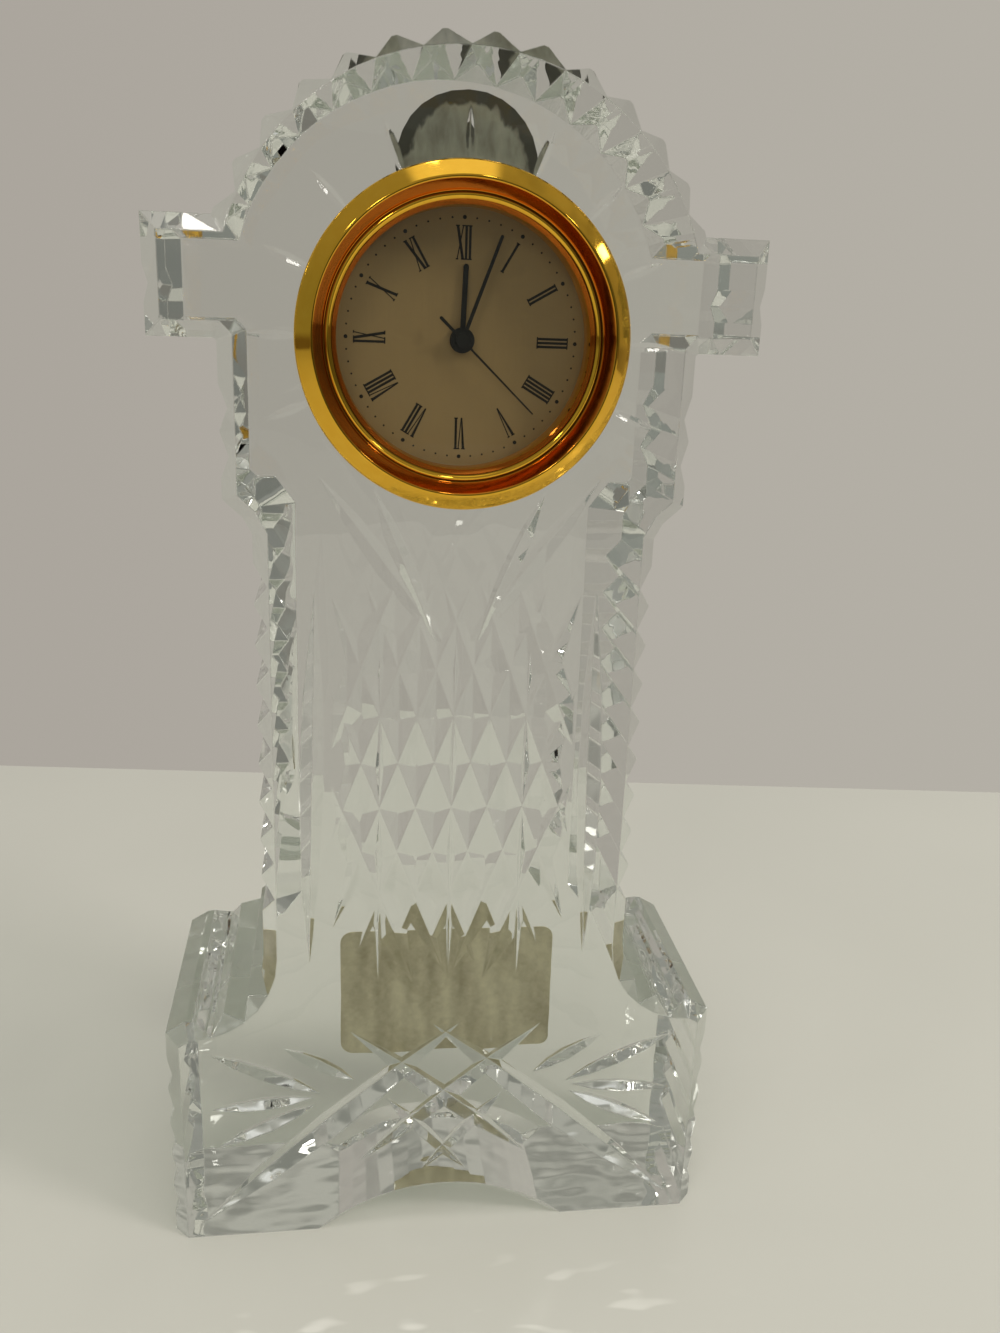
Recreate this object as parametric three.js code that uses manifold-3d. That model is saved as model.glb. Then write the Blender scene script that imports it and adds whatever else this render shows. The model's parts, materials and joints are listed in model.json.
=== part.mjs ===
// Small cut-crystal table clock in the shape of a grandfather clock, with a round quartz
// insert held in a blind bore. Millimetres, +X to the clock's left as it faces the viewer's
// right, +Y to the back, +Z up. The origin is the bottom centre of the whole clock's box.
import * as THREE from "three";
import { mergeVertices } from "three/addons/utils/BufferGeometryUtils.js";
import Module from "manifold-3d";

const wasm = await Module();
wasm.setup();

// Crystal block, front view. Widths are half widths of the front face.
const blockDepth = 38;
const bevelWidth = 2.1;
const bevelDepth = 2.2;
const chamferWidth = 4.9;
const chamferRunOut = 4;
const baseHalf = 40.5;
const baseHeight = 35.6;
const footInner = 19.9;
const archRise = 7.6;
const flareRadius = 13.5;
const trunkHalf = 25.5;
const hoodBottom = 119.2;
const hoodHalf = 29.3;
const hoodCove = 5;
const earBottom = 140.9;
const earTop = 151.4;
const earHalf = 38;
const earFillet = 1.5;
const archRadius = 31.3;
const archCentreZ = 142.4;

// Edge teeth: V grooves that run from front to back.
const toothPitch = 5.86;
const toothLand = 0.25;
const grooveFloor = 0.15;
const archGrooves = 13;
const trunkTopGroove = 106.9;
const trunkGrooves = 9;
const baseNotches = 5;
const baseNotchDepth = 0.85;
const hoodNotchPitch = 6.2;
const hoodNotchDepth = 1.2;
const earNotchWidth = 4.6;
const earNotchDepth = 0.75;

// Mitre cutting on the front face.
const steepSlope = 1.1;
const wideSlope = 1.7;
const rowPitch = 7.1;
const topRowZ = 94.9;
const columnPitch = 5.25;
const fieldHalf = 17.3;
const fieldTop = 107.5;
const fieldBottom = 45.5;
const diagonalDepth = 1.35;
const uprightDepth = 1.3;
const uprightSlope = 0.6;
const leafFullness = 2;
const latticeFullness = 4;
const rayStep = 22.5;
const rayCount = 11;
const rayInner = 20.6;
const rayOuter = 27.6;
const rayDepth = 0.35;

// Leaf cuts of one side: from, to, depth, slope. Trunk edge, hood fan, base cross, side fan.
const leaves = [
  [[19.4, 106.5], [20.8, 49], 1.9, 0.9],
  [[19, 122.2], [0.2, 97], 0.9, wideSlope],
  [[11.6, 120.4], [2.6, 98.6], 2, 0.65],
  [[38, 2.8], [-2.5, 38.2], 1.8, 1.3],
  [[-13.3, 13], [14.7, 37], 1.5, steepSlope],
  [[9.5, 25], [-3.5, 10.5], 1, steepSlope],
  [[13.8, 28], [25, 34.6], 1.1, steepSlope],
  [[19.1, 26], [35.8, 33.9], 1.2, steepSlope],
  [[20.2, 25.4], [36, 24], 1.1, steepSlope],
  [[19.8, 24.3], [35.1, 17.1], 1.1, steepSlope],
];

// Insert: radii about the dial's axis, each taken from the bore's.
const dialZ = 139.5;
const boreRadius = 18.3;
const partGap = 0.3;
const bezelRadius = boreRadius + 3.3;
const ridgeRadius = boreRadius + 1.1;
const seatRadius = boreRadius - 0.4;
const lipRadius = boreRadius - 1.9;
const skirtRadius = boreRadius - partGap;
const skirtWall = 0.45;
const skirtInner = skirtRadius - skirtWall;
const stackRadius = skirtInner - partGap;
const caseWall = 0.5;
const caseInner = stackRadius - caseWall;
const plateRadius = caseInner - partGap;
const bridgeRadius = plateRadius - 1.05;
const boardRadius = bridgeRadius - 1;

// Insert: thicknesses along its axis.
const bezelProud = 2.7;
const lipProud = 0.6;
const seatProud = 1;
const skirtLength = 7;
const lensThick = 1;
const dialThick = 0.4;
const backThick = 0.8;
const gripLength = 5;
const gripClear = 0.1;
const boreSpare = 0.6;

// Hands: lengths from the axis, and their places at rest, in degrees clockwise from twelve.
const hourLength = 9.5;
const minuteLength = 14;
const secondLength = 13.3;
const secondTail = 4.2;
const handThick = 0.2;
const hubRadius = 1.55;
const minuteAngle = 20.2;
const hourAngle = minuteAngle / 12;
const secondAngle = 133.6;

// Movement: plates, pipes and the wheels' centre distances.
const plateThick = 1;
const bridgeThick = 0.7;
const arborRadius = 0.25;
const stemRadius = 0.45;
const screwRadius = 0.45;
const screwHead = 1.1;
const pillarRadius = 1.3;
const pillarPlaces = [[0.81, -19.2], [0.76, 185.5], [0.85, -70.8]];
const pipeWall = 0.2;
const runClear = 0.1;
const pressGap = 0.04;
const wheelThick = 0.3;
const pinionThick = 0.6;
const motionPinionThick = 0.4;
const settingGearThick = 0.5;
const thirdDistance = 6;
const thirdAngle = -40;
const fifthDistance = 6.1;
const fifthAngle = 110;
const rotorDistance = 4.4;
const rotorAngle = 165;
const motionDistance = 4;
const motionAngle = 25;
const cannonTeeth = 10;
const motionTeeth = 30;
const settingTeeth = 12;
const motionModule = 2 * motionDistance / (cannonTeeth + motionTeeth);
const settingDistance = motionModule * (motionTeeth + settingTeeth) / 2;
const magnetRadius = 1.4;
const magnetThick = 0.8;
const statorBore = 1.9;
const statorRim = 1;
const statorThick = 0.6;
const coreThick = 0.6;
const coilZ = 0.73 * plateRadius;
const coilHalf = 7;
const coilRadius = 1.8;
const knobRadius = 2.6;
const knobLength = 1.6;
const boardThick = 0.6;
const cellRadius = 5.8;
const cellThick = 3.1;
const cellDistance = 0.5715 * plateRadius;
const cellAngle = 240.7;

// Depths from the crystal's front face to the back, each from the one before it.
const handAir = 1.15;
const handStep = 0.55;
const lensNear = partGap;
const lensFar = lensNear + lensThick;
const secondDepth = lensFar + handAir;
const minuteDepth = secondDepth + handStep;
const hourDepth = minuteDepth + handStep;
const dialDepth = hourDepth + handThick + handStep;
const dialFar = dialDepth + dialThick;
const caseNear = dialFar + partGap;
const hourWheelNear = dialFar + partGap;
const motionNear = hourWheelNear + wheelThick + partGap;
const plateFront = motionNear + wheelThick + 0.4;
const plateFar = plateFront + plateThick;
const centreNear = plateFar + partGap;
const secondsNear = centreNear + 1.3;
const thirdNear = secondsNear + 1.05;
const statorNear = centreNear + 0.4;
const coreNear = statorNear + statorThick + partGap;
const coilAxis = coreNear + coreThick / 2;
const bridgeFront = coilAxis + coilRadius + 0.4;
const bridgeFar = bridgeFront + bridgeThick;
const boardNear = bridgeFar + partGap;
const boardFar = boardNear + boardThick;
const cellNear = boardNear + 0.35;
const caseFar = cellNear + cellThick + 0.55;
const backNear = caseFar + partGap;
const backFar = backNear + backThick;
const knobNear = backFar + partGap;
const boreDepth = knobNear + knobLength + boreSpare;
const arborNear = plateFront + 0.25;
const arborFar = bridgeFar - 0.15;

// Labels on the rear face.
const labelThick = 0.15;
const labelX = 2.2;
const foilHalf = 10.2;
const foilBottom = 161;
const foilHeight = 11.8;
const paperHalf = 18.4;
const paperBottom = 17.2;
const paperHeight = 23.8;

const frontY = bezelProud - (blockDepth + bezelProud + labelThick) / 2;
const rad = THREE.MathUtils.degToRad;

// Geometry helpers

function toSolid(geometry) {
  const bare = geometry.index ? geometry.toNonIndexed() : geometry.clone();
  for (const name of Object.keys(bare.attributes)) {
    if (name !== "position") bare.deleteAttribute(name);
  }
  const merged = mergeVertices(bare, 1e-4);
  const mesh = new wasm.Mesh({
    numProp: 3,
    vertProperties: new Float32Array(merged.attributes.position.array),
    triVerts: new Uint32Array(merged.index.array),
  });
  return new wasm.Manifold(mesh);
}

function toGeometry(solid) {
  const mesh = solid.getMesh();
  const geometry = new THREE.BufferGeometry();
  const count = mesh.vertProperties.length / mesh.numProp;
  const points = new Float32Array(count * 3);
  for (let i = 0; i < count; i += 1) {
    points.set(mesh.vertProperties.subarray(i * mesh.numProp, i * mesh.numProp + 3), i * 3);
  }
  geometry.setAttribute("position", new THREE.BufferAttribute(points, 3));
  geometry.setIndex(new THREE.BufferAttribute(new Uint32Array(mesh.triVerts), 1));
  return geometry;
}

function join(...geometries) {
  return toGeometry(geometries.map(toSolid).reduce((sum, next) => sum.add(next)));
}

function cut(geometry, ...tools) {
  return toGeometry(tools.map(toSolid).reduce((left, tool) => left.subtract(tool), toSolid(geometry)));
}

function shapeOf(points) {
  return new THREE.Shape(points.map(([x, z]) => new THREE.Vector2(x, z)));
}

// A flat outline in X and Z made solid between two depths.
function slab(shape, near, far, segments = 24) {
  const options = { depth: far - near, bevelEnabled: false, steps: 1, curveSegments: segments };
  return new THREE.ExtrudeGeometry(shape, options).rotateX(Math.PI / 2).translate(0, far, 0);
}

// A closed profile of radius and depth turned about the depth axis.
function turned(profile, segments = 48) {
  const points = profile.map(([radius, depth]) => new THREE.Vector2(radius, depth));
  return new THREE.LatheGeometry([...points, points[0].clone()], segments);
}

function disc(radius, near, far, segments = 32) {
  const profile = [new THREE.Vector2(0, near), new THREE.Vector2(radius, near)];
  profile.push(new THREE.Vector2(radius, far), new THREE.Vector2(0, far));
  return new THREE.LatheGeometry(profile, segments);
}

function ring(inner, outer, near, far, segments = 32) {
  return turned([[inner, near], [outer, near], [outer, far], [inner, far]], segments);
}

function polar(distance, degrees) {
  return [distance * Math.cos(rad(degrees)), distance * Math.sin(rad(degrees))];
}

function arcPoints(x, z, radius, from, to, steps) {
  return Array.from({ length: steps + 1 }, (_, i) => {
    const [dx, dz] = polar(radius, from + (to - from) * i / steps);
    return [x + dx, z + dz];
  });
}

// Signed area: positive when the outline runs anticlockwise.
function moveOut(outline, distance) {
  return outline.map(([x, z], i) => {
    const [px, pz] = outline[(i + outline.length - 1) % outline.length];
    const [nx, nz] = outline[(i + 1) % outline.length];
    const a = new THREE.Vector2(z - pz, px - x).normalize();
    const b = new THREE.Vector2(nz - z, x - nx).normalize();
    const scale = distance / (1 + a.dot(b));
    return [x + (a.x + b.x) * scale, z + (a.y + b.y) * scale];
  });
}

// Walls between matching outlines at rising depths, closed by a flat cap at each end.
function loft(layers) {
  const positions = [];
  const index = [];
  const size = layers[0].outline.length;
  for (const { outline, depth } of layers) {
    for (const [x, z] of outline) positions.push(x, depth, z);
  }
  for (let k = 0; k + 1 < layers.length; k += 1) {
    for (let i = 0; i < size; i += 1) {
      const a = k * size + i;
      const b = k * size + (i + 1) % size;
      index.push(a, b, b + size, a, b + size, a + size);
    }
  }
  const last = (layers.length - 1) * size;
  const flat = (outline) => outline.map(([x, z]) => new THREE.Vector2(x, z));
  for (const [a, b, c] of THREE.ShapeUtils.triangulateShape(flat(layers[0].outline), [])) {
    index.push(a, c, b);
  }
  for (const [a, b, c] of THREE.ShapeUtils.triangulateShape(flat(layers.at(-1).outline), [])) {
    index.push(last + a, last + b, last + c);
  }
  const geometry = new THREE.BufferGeometry();
  geometry.setAttribute("position", new THREE.Float32BufferAttribute(positions, 3));
  geometry.setIndex(index);
  return flipped(geometry);
}

function flipped(geometry) {
  const index = geometry.index.array;
  for (let i = 0; i < index.length; i += 3) {
    [index[i + 1], index[i + 2]] = [index[i + 2], index[i + 1]];
  }
  return geometry;
}

// Crystal block

function frontOutline() {
  const archDrop = (footInner ** 2 - archRise ** 2) / (2 * archRise);
  const footArc = archDrop + archRise;
  const footAngle = THREE.MathUtils.radToDeg(Math.asin(archDrop / footArc));
  const flareX = trunkHalf + flareRadius;
  const flareZ = baseHeight + 0.9 + flareRadius;
  const earAngle = THREE.MathUtils.radToDeg(Math.asin((earTop - archCentreZ) / archRadius));
  const right = [
    ...arcPoints(0, -archDrop, footArc, 90, footAngle, 8).slice(1),
    [baseHalf, 0],
    [baseHalf, baseHeight],
    ...arcPoints(flareX, flareZ, flareRadius, 270, 180, 7),
    [trunkHalf, hoodBottom - hoodCove],
    [trunkHalf + 0.4 * (hoodHalf - trunkHalf), hoodBottom - 0.42 * hoodCove],
    [hoodHalf, hoodBottom],
    [hoodHalf, earBottom - earFillet],
    [hoodHalf + earFillet, earBottom],
    [earHalf, earBottom],
    [earHalf, earTop],
    ...arcPoints(0, archCentreZ, archRadius, earAngle, 90, 14),
  ];
  const left = right.slice(0, -1).reverse().map(([x, z]) => [-x, z]);
  return [...right, ...left, [0, archRise]];
}

// A V groove along the whole depth, its floor at (x, z) and its mouth facing (ux, uz).
function edgeGroove(x, z, ux, uz, width, depth) {
  const rise = 1.6;
  const half = width / 2 * rise;
  const reach = depth * rise;
  const outline = [
    [x, z],
    [x + ux * reach + uz * half, z + uz * reach - ux * half],
    [x + ux * reach - uz * half, z + uz * reach + ux * half],
  ];
  return slab(shapeOf(outline), -1, blockDepth + 1);
}

function archGrooveTools() {
  const step = toothPitch / archRadius;
  const floor = archRadius + grooveFloor;
  const depth = bevelWidth - grooveFloor;
  return Array.from({ length: archGrooves }, (_, i) => {
    const angle = Math.PI / 2 + (i - (archGrooves - 1) / 2) * step;
    const [ux, uz] = [Math.cos(angle), Math.sin(angle)];
    const width = step * (archRadius + bevelWidth) - toothLand;
    return edgeGroove(ux * floor, archCentreZ + uz * floor, ux, uz, width, depth);
  });
}

function sideGrooveTools() {
  const tools = [];
  const depth = bevelWidth - grooveFloor;
  for (const side of [-1, 1]) {
    for (let i = 0; i < trunkGrooves; i += 1) {
      const z = trunkTopGroove - i * toothPitch;
      tools.push(edgeGroove(side * (trunkHalf + grooveFloor), z, side, 0, toothPitch - toothLand, depth));
    }
    for (let i = 1; i <= baseNotches; i += 1) {
      const x = side * (baseHalf + bevelWidth - baseNotchDepth);
      const z = i * baseHeight / (baseNotches + 1);
      tools.push(edgeGroove(x, z, side, 0, toothPitch * 0.85, baseNotchDepth));
    }
    for (let i = 0; i < 2; i += 1) {
      const x = side * (hoodHalf + bevelWidth - hoodNotchDepth);
      const z = hoodBottom + (i + 0.78) * hoodNotchPitch;
      tools.push(edgeGroove(x, z, side, 0, hoodNotchPitch * 0.95, hoodNotchDepth));
    }
    const earX = side * (earHalf + bevelWidth - earNotchDepth);
    const earZ = earBottom + 0.4 * (earTop - earBottom);
    tools.push(edgeGroove(earX, earZ, side, 0, earNotchWidth, earNotchDepth));
  }
  return tools;
}

// Grooves that follow the concave flare between trunk and base.
function flareGrooveTools() {
  const tools = [];
  const centre = [trunkHalf + flareRadius, baseHeight + 0.9 + flareRadius];
  const floor = flareRadius - grooveFloor;
  const depth = bevelWidth - grooveFloor;
  for (const side of [-1, 1]) {
    for (const degrees of [207, 231, 255]) {
      const [dx, dz] = polar(1, degrees);
      const x = side * (centre[0] + dx * floor);
      tools.push(edgeGroove(x, centre[1] + dz * floor, -side * dx, -dz, toothPitch * 0.72, depth));
    }
  }
  return tools;
}

// A solid through a row of triangular sections.
function wedge(layers) {
  const positions = layers.flat(2);
  const index = [0, 1, 2];
  for (let k = 0; k < layers.length - 1; k += 1) {
    for (let i = 0; i < 3; i += 1) {
      const a = 3 * k + i;
      const b = 3 * k + (i + 1) % 3;
      index.push(a, b + 3, b, a, a + 3, b + 3);
    }
  }
  const end = 3 * (layers.length - 1);
  index.push(end, end + 2, end + 1);
  const geometry = new THREE.BufferGeometry();
  geometry.setAttribute("position", new THREE.Float32BufferAttribute(positions, 3));
  geometry.setIndex(index);
  return geometry;
}

// A pointed cut made by a V wheel: deepest in the middle and running out at both tips. A fuller
// cut keeps its depth along more of its length.
function leafCut([[x0, z0], [x1, z1], depth, slope, fullness = leafFullness]) {
  const stations = 4;
  const lift = 0.3;
  const length = Math.hypot(x1 - x0, z1 - z0);
  const [ux, uz] = [(x1 - x0) / length, (z1 - z0) / length];
  const layers = [];
  for (let i = 0; i <= stations; i += 1) {
    const t = i / stations;
    const deep = depth * (1 - Math.abs(2 * t - 1) ** fullness);
    const half = slope * (deep + lift);
    const [x, z] = [x0 + ux * length * t, z0 + uz * length * t];
    const [dx, dz] = [uz * half, ux * half];
    layers.push([[x - dx, -lift, z + dz], [x, deep, z], [x + dx, -lift, z - dz]]);
  }
  return wedge(layers);
}

// The two long rear edges of the trunk, cut back at 45 degrees and running out at both ends.
function rearChamfers() {
  const back = blockDepth + 0.5;
  const far = trunkHalf + bevelWidth + 1;
  const section = (width, z) => {
    const reach = trunkHalf + bevelWidth + blockDepth - width;
    return [[reach - back, back, z], [far, back, z], [far, reach - far, z]];
  };
  const shallow = bevelDepth - partGap;
  const [low, high] = [baseHeight + flareRadius, hoodBottom - hoodCove];
  const layers = [
    section(shallow, low - chamferRunOut), section(chamferWidth, low),
    section(chamferWidth, high), section(shallow, high + chamferRunOut),
  ];
  const right = wedge(layers);
  return [right, flipped(right.clone().scale(-1, 1, 1))];
}

function mirrored(list) {
  return [...list, ...list.map(([a, b, ...form]) => [[-a[0], a[1]], [-b[0], b[1]], ...form])];
}

function latticeCuts() {
  const cuts = [];
  const run = columnPitch / 2 / rowPitch;
  for (let j = -5; j <= 2; j += 1) {
    const top = columnPitch * (j + 0.5);
    const at = (z) => top + run * (topRowZ - z);
    const zAt = (x) => topRowZ - (x - top) / run;
    const startZ = Math.min(fieldTop, zAt(-fieldHalf));
    const endZ = Math.max(fieldBottom + 1.5 * (j + 5), zAt(fieldHalf));
    if (startZ - endZ > 2 * rowPitch) {
      cuts.push([[at(startZ), startZ], [at(endZ), endZ], diagonalDepth, wideSlope, latticeFullness]);
    }
  }
  const uprights = [-2, 0, 2].map((k) => [
    [k * columnPitch, topRowZ + rowPitch], [k * columnPitch, fieldBottom],
    uprightDepth, uprightSlope, latticeFullness,
  ]);
  return [...mirrored(cuts), ...uprights];
}

function faceCuts() {
  const rays = Array.from({ length: rayCount }, (_, i) => {
    const degrees = (i - 1) * rayStep;
    const [ix, iz] = polar(rayInner, degrees);
    const [ox, oz] = polar(rayOuter, degrees);
    return [[ix, dialZ + iz], [ox, dialZ + oz], rayDepth, wideSlope];
  });
  return [...latticeCuts(), ...mirrored(leaves), ...rays];
}

function crystalBody() {
  const inner = frontOutline();
  const outer = moveOut(inner, bevelWidth);
  const block = loft([
    { outline: inner, depth: 0 },
    { outline: outer, depth: bevelDepth },
    { outline: outer, depth: blockDepth - bevelDepth },
    { outline: inner, depth: blockDepth },
  ]);
  const below = new THREE.BoxGeometry(4 * baseHalf, 2 * blockDepth, baseHeight)
    .translate(0, blockDepth / 2, -baseHeight / 2);
  const bore = disc(boreRadius, -1, boreDepth, 48).translate(0, 0, dialZ);
  const tools = [
    below, bore, ...archGrooveTools(), ...sideGrooveTools(), ...flareGrooveTools(),
    ...faceCuts().map(leafCut), ...rearChamfers(),
  ];
  return cut(block, ...tools);
}

// Labels

function foilLabel() {
  const shape = new THREE.Shape();
  const [low, top] = [foilBottom, foilBottom + foilHeight];
  const [corner, shoulder, crown] = [low + 0.13 * foilHeight, low + 0.6 * foilHeight, 0.6 * foilHalf];
  const foot = 0.9 * foilHalf;
  shape.moveTo(-foot, low);
  shape.lineTo(foot, low);
  shape.quadraticCurveTo(foilHalf, low, foilHalf, corner);
  shape.bezierCurveTo(foilHalf, shoulder, crown, top, 0, top);
  shape.bezierCurveTo(-crown, top, -foilHalf, shoulder, -foilHalf, corner);
  shape.quadraticCurveTo(-foilHalf, low, -foot, low);
  return slab(shape, blockDepth, blockDepth + labelThick, 7).translate(labelX, 0, 0);
}

function paperLabel() {
  const corner = 2;
  const shape = new THREE.Shape();
  const [w, z0, z1] = [paperHalf, paperBottom, paperBottom + paperHeight];
  shape.absarc(w - corner, z0 + corner, corner, -Math.PI / 2, 0);
  shape.absarc(w - corner, z1 - corner, corner, 0, Math.PI / 2);
  shape.absarc(-w + corner, z1 - corner, corner, Math.PI / 2, Math.PI);
  shape.absarc(-w + corner, z0 + corner, corner, Math.PI, Math.PI * 1.5);
  return slab(shape, blockDepth, blockDepth + labelThick, 3).translate(labelX, 0, 0);
}

// Insert shell

function bezel() {
  return turned([
    [skirtInner, 0], [lipRadius, 0], [lipRadius, -lipProud], [lipRadius + 0.7, -lipProud - 0.15],
    [lipRadius + 0.95, -lipProud - 0.55], [seatRadius, -seatProud], [ridgeRadius - 0.25, -bezelProud],
    [ridgeRadius + 0.15, -bezelProud], [bezelRadius - 0.2, -seatProud], [bezelRadius, -lipProud - 0.1],
    [bezelRadius, 0], [skirtRadius, 0], [skirtRadius, skirtLength], [skirtInner, skirtLength],
  ], 48);
}

function lens() {
  return disc(stackRadius, lensNear, lensFar, 40);
}

function spacerRing() {
  const near = lensFar + partGap;
  const far = dialDepth - partGap;
  const radius = stackRadius;
  return turned([[radius - 0.5, near], [radius, near], [radius, far], [radius - 0.9, far]], 36);
}

const centreTubeInner = arborRadius + runClear;
const centreTubeOuter = centreTubeInner + pipeWall;
const cannonInner = centreTubeOuter + pressGap;
const cannonOuter = cannonInner + pipeWall;
const hourPipeInner = cannonOuter + runClear;
const hourPipeOuter = hourPipeInner + pipeWall;

function dial() {
  return ring(hourPipeOuter + runClear, stackRadius, dialDepth, dialFar, 40);
}

function insertCase() {
  return ring(caseInner, stackRadius, caseNear, caseFar, 36);
}

const [stemX, stemZ] = polar(motionDistance + settingDistance, motionAngle);

function caseBack() {
  const spigot = ring(caseInner - partGap - 0.6, caseInner - partGap, backNear - 1.2, backNear + 0.2, 36);
  const hole = holeAt(stemX, stemZ, stemRadius + runClear, backNear - 1, backFar + 1);
  return cut(join(disc(stackRadius, backNear, backFar, 36), spigot), hole);
}

function gripRing() {
  const near = skirtLength + partGap;
  const [inner, outer] = [stackRadius + partGap, boreRadius - gripClear];
  const profile = [[inner, near], [outer - 0.35, near]];
  for (const share of [0.15, 0.6]) {
    const start = near + share * gripLength;
    profile.push([outer - 0.35, start], [outer, start + 0.5], [outer - 0.35, start + 1]);
  }
  profile.push([outer - 0.35, near + gripLength], [inner, near + gripLength]);
  return turned(profile, 36);
}

// Wheels: two points a tooth, tip and root, on a pitch circle of half teeth times module.

function toothShape(teeth, module, phase) {
  const points = [];
  for (let i = 0; i < teeth; i += 1) {
    const angle = phase + 2 * Math.PI * i / teeth;
    const tip = module * (teeth / 2 + 0.65);
    const root = module * (teeth / 2 - 1.05);
    points.push([tip * Math.cos(angle), tip * Math.sin(angle)]);
    const valley = angle + Math.PI / teeth;
    points.push([root * Math.cos(valley), root * Math.sin(valley)]);
  }
  return shapeOf(points);
}

// The phase that puts the follower's gaps on the driver's teeth, seen along angle from the driver.
function meshPhase(driver, driverPhase, degrees, follower) {
  const slip = (driverPhase - rad(degrees)) * driver.teeth;
  return rad(degrees) + Math.PI - slip / follower.teeth + Math.PI / follower.teeth;
}

// A pinion is thicker than the wheel it turns, and centred on it.
const pinionOver = (pinionThick - wheelThick) / 2;
const motionOver = (motionPinionThick - wheelThick) / 2;
const train = {
  secondsWheel: { teeth: 40, near: secondsNear },
  secondsPinion: { teeth: 8, near: thirdNear - pinionOver },
  thirdWheel: { teeth: 48, near: thirdNear },
  thirdPinion: { teeth: 6, near: centreNear - pinionOver },
  centreWheel: { teeth: 60, near: centreNear },
  fifthPinion: { teeth: 8, near: secondsNear - pinionOver },
  fifthWheel: { teeth: 48, near: thirdNear },
  rotorPinion: { teeth: 8, near: thirdNear - pinionOver },
  cannonPinion: { teeth: cannonTeeth, near: motionNear - motionOver },
  motionWheel: { teeth: motionTeeth, near: motionNear },
  motionPinion: { teeth: 8, near: hourWheelNear - motionOver },
  hourWheel: { teeth: 32, near: hourWheelNear },
  settingGear: { teeth: settingTeeth, near: motionNear - (settingGearThick - wheelThick) / 2 },
};

function toothed(gear, module, phase, thick) {
  return slab(toothShape(gear.teeth, module, phase), gear.near, gear.near + thick);
}

function moduleFor(distance, a, b) {
  return 2 * distance / (a.teeth + b.teeth);
}

function arbor(radius, near, far) {
  return disc(radius, near, far, 10);
}

function secondsWheel() {
  const wheelModule = moduleFor(fifthDistance, train.secondsWheel, train.fifthPinion);
  const pinionModule = moduleFor(thirdDistance, train.secondsPinion, train.thirdWheel);
  return join(
    arbor(arborRadius, secondDepth + pressGap, arborFar),
    toothed(train.secondsWheel, wheelModule, rad(fifthAngle), wheelThick),
    toothed(train.secondsPinion, pinionModule, rad(thirdAngle), pinionThick),
    arbor(0.6, train.secondsWheel.near, train.secondsPinion.near + 0.1),
  );
}

function thirdWheel() {
  const wheelModule = moduleFor(thirdDistance, train.secondsPinion, train.thirdWheel);
  const pinionModule = moduleFor(thirdDistance, train.thirdPinion, train.centreWheel);
  const wheelPhase = meshPhase(train.secondsPinion, rad(thirdAngle), thirdAngle, train.thirdWheel);
  return join(
    arbor(arborRadius, arborNear, arborFar),
    toothed(train.thirdWheel, wheelModule, wheelPhase, wheelThick),
    toothed(train.thirdPinion, pinionModule, rad(thirdAngle), pinionThick),
  );
}

function centreWheel() {
  const module = moduleFor(thirdDistance, train.thirdPinion, train.centreWheel);
  const phase = meshPhase(train.thirdPinion, rad(thirdAngle), thirdAngle + 180, train.centreWheel);
  const bore = disc(centreTubeInner, minuteDepth, boreDepth, 16);
  return cut(join(
    toothed(train.centreWheel, module, phase, wheelThick),
    arbor(centreTubeOuter, dialDepth + 0.1, centreNear + wheelThick),
    arbor(0.9, centreNear, centreNear + 2 * wheelThick),
  ), bore);
}

function fifthWheel() {
  const wheelModule = moduleFor(rotorDistance, train.rotorPinion, train.fifthWheel);
  const pinionModule = moduleFor(fifthDistance, train.secondsWheel, train.fifthPinion);
  const pinionPhase = meshPhase(train.secondsWheel, rad(fifthAngle), fifthAngle, train.fifthPinion);
  return join(
    arbor(arborRadius, arborNear, arborFar),
    toothed(train.fifthWheel, wheelModule, rad(rotorAngle), wheelThick),
    toothed(train.fifthPinion, pinionModule, pinionPhase, pinionThick),
  );
}

function rotor() {
  const magnetNear = statorNear + (statorThick - magnetThick) / 2;
  const module = moduleFor(rotorDistance, train.rotorPinion, train.fifthWheel);
  const phase = meshPhase(train.fifthWheel, rad(rotorAngle), rotorAngle, train.rotorPinion);
  return join(
    arbor(arborRadius, arborNear, arborFar),
    disc(magnetRadius, magnetNear, magnetNear + magnetThick, 20),
    toothed(train.rotorPinion, module, phase, pinionThick),
  );
}

function cannonPinion() {
  const phase = rad(motionAngle);
  return cut(join(
    arbor(cannonOuter, minuteDepth, plateFront - 0.2),
    toothed(train.cannonPinion, motionModule, phase, motionPinionThick),
  ), disc(cannonInner, 0, plateFar, 16));
}

function motionWheelPhase() {
  return meshPhase(train.cannonPinion, rad(motionAngle), motionAngle, train.motionWheel);
}

function minuteWheel() {
  return join(
    arbor(arborRadius, train.motionPinion.near, plateFar - 0.25),
    toothed(train.motionWheel, motionModule, motionWheelPhase(), wheelThick),
    toothed(train.motionPinion, motionModule, rad(motionAngle), motionPinionThick),
  );
}

function hourWheel() {
  const phase = meshPhase(train.motionPinion, rad(motionAngle), motionAngle + 180, train.hourWheel);
  return cut(join(
    arbor(hourPipeOuter, hourDepth, hourWheelNear + wheelThick),
    toothed(train.hourWheel, motionModule, phase, wheelThick),
  ), disc(hourPipeInner, 0, plateFar, 16));
}

function settingStem() {
  const phase = meshPhase(train.motionWheel, motionWheelPhase(), motionAngle, train.settingGear);
  return join(
    toothed(train.settingGear, motionModule, phase, settingGearThick),
    arbor(stemRadius, train.settingGear.near, knobNear + 0.55 * knobLength),
  );
}

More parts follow.
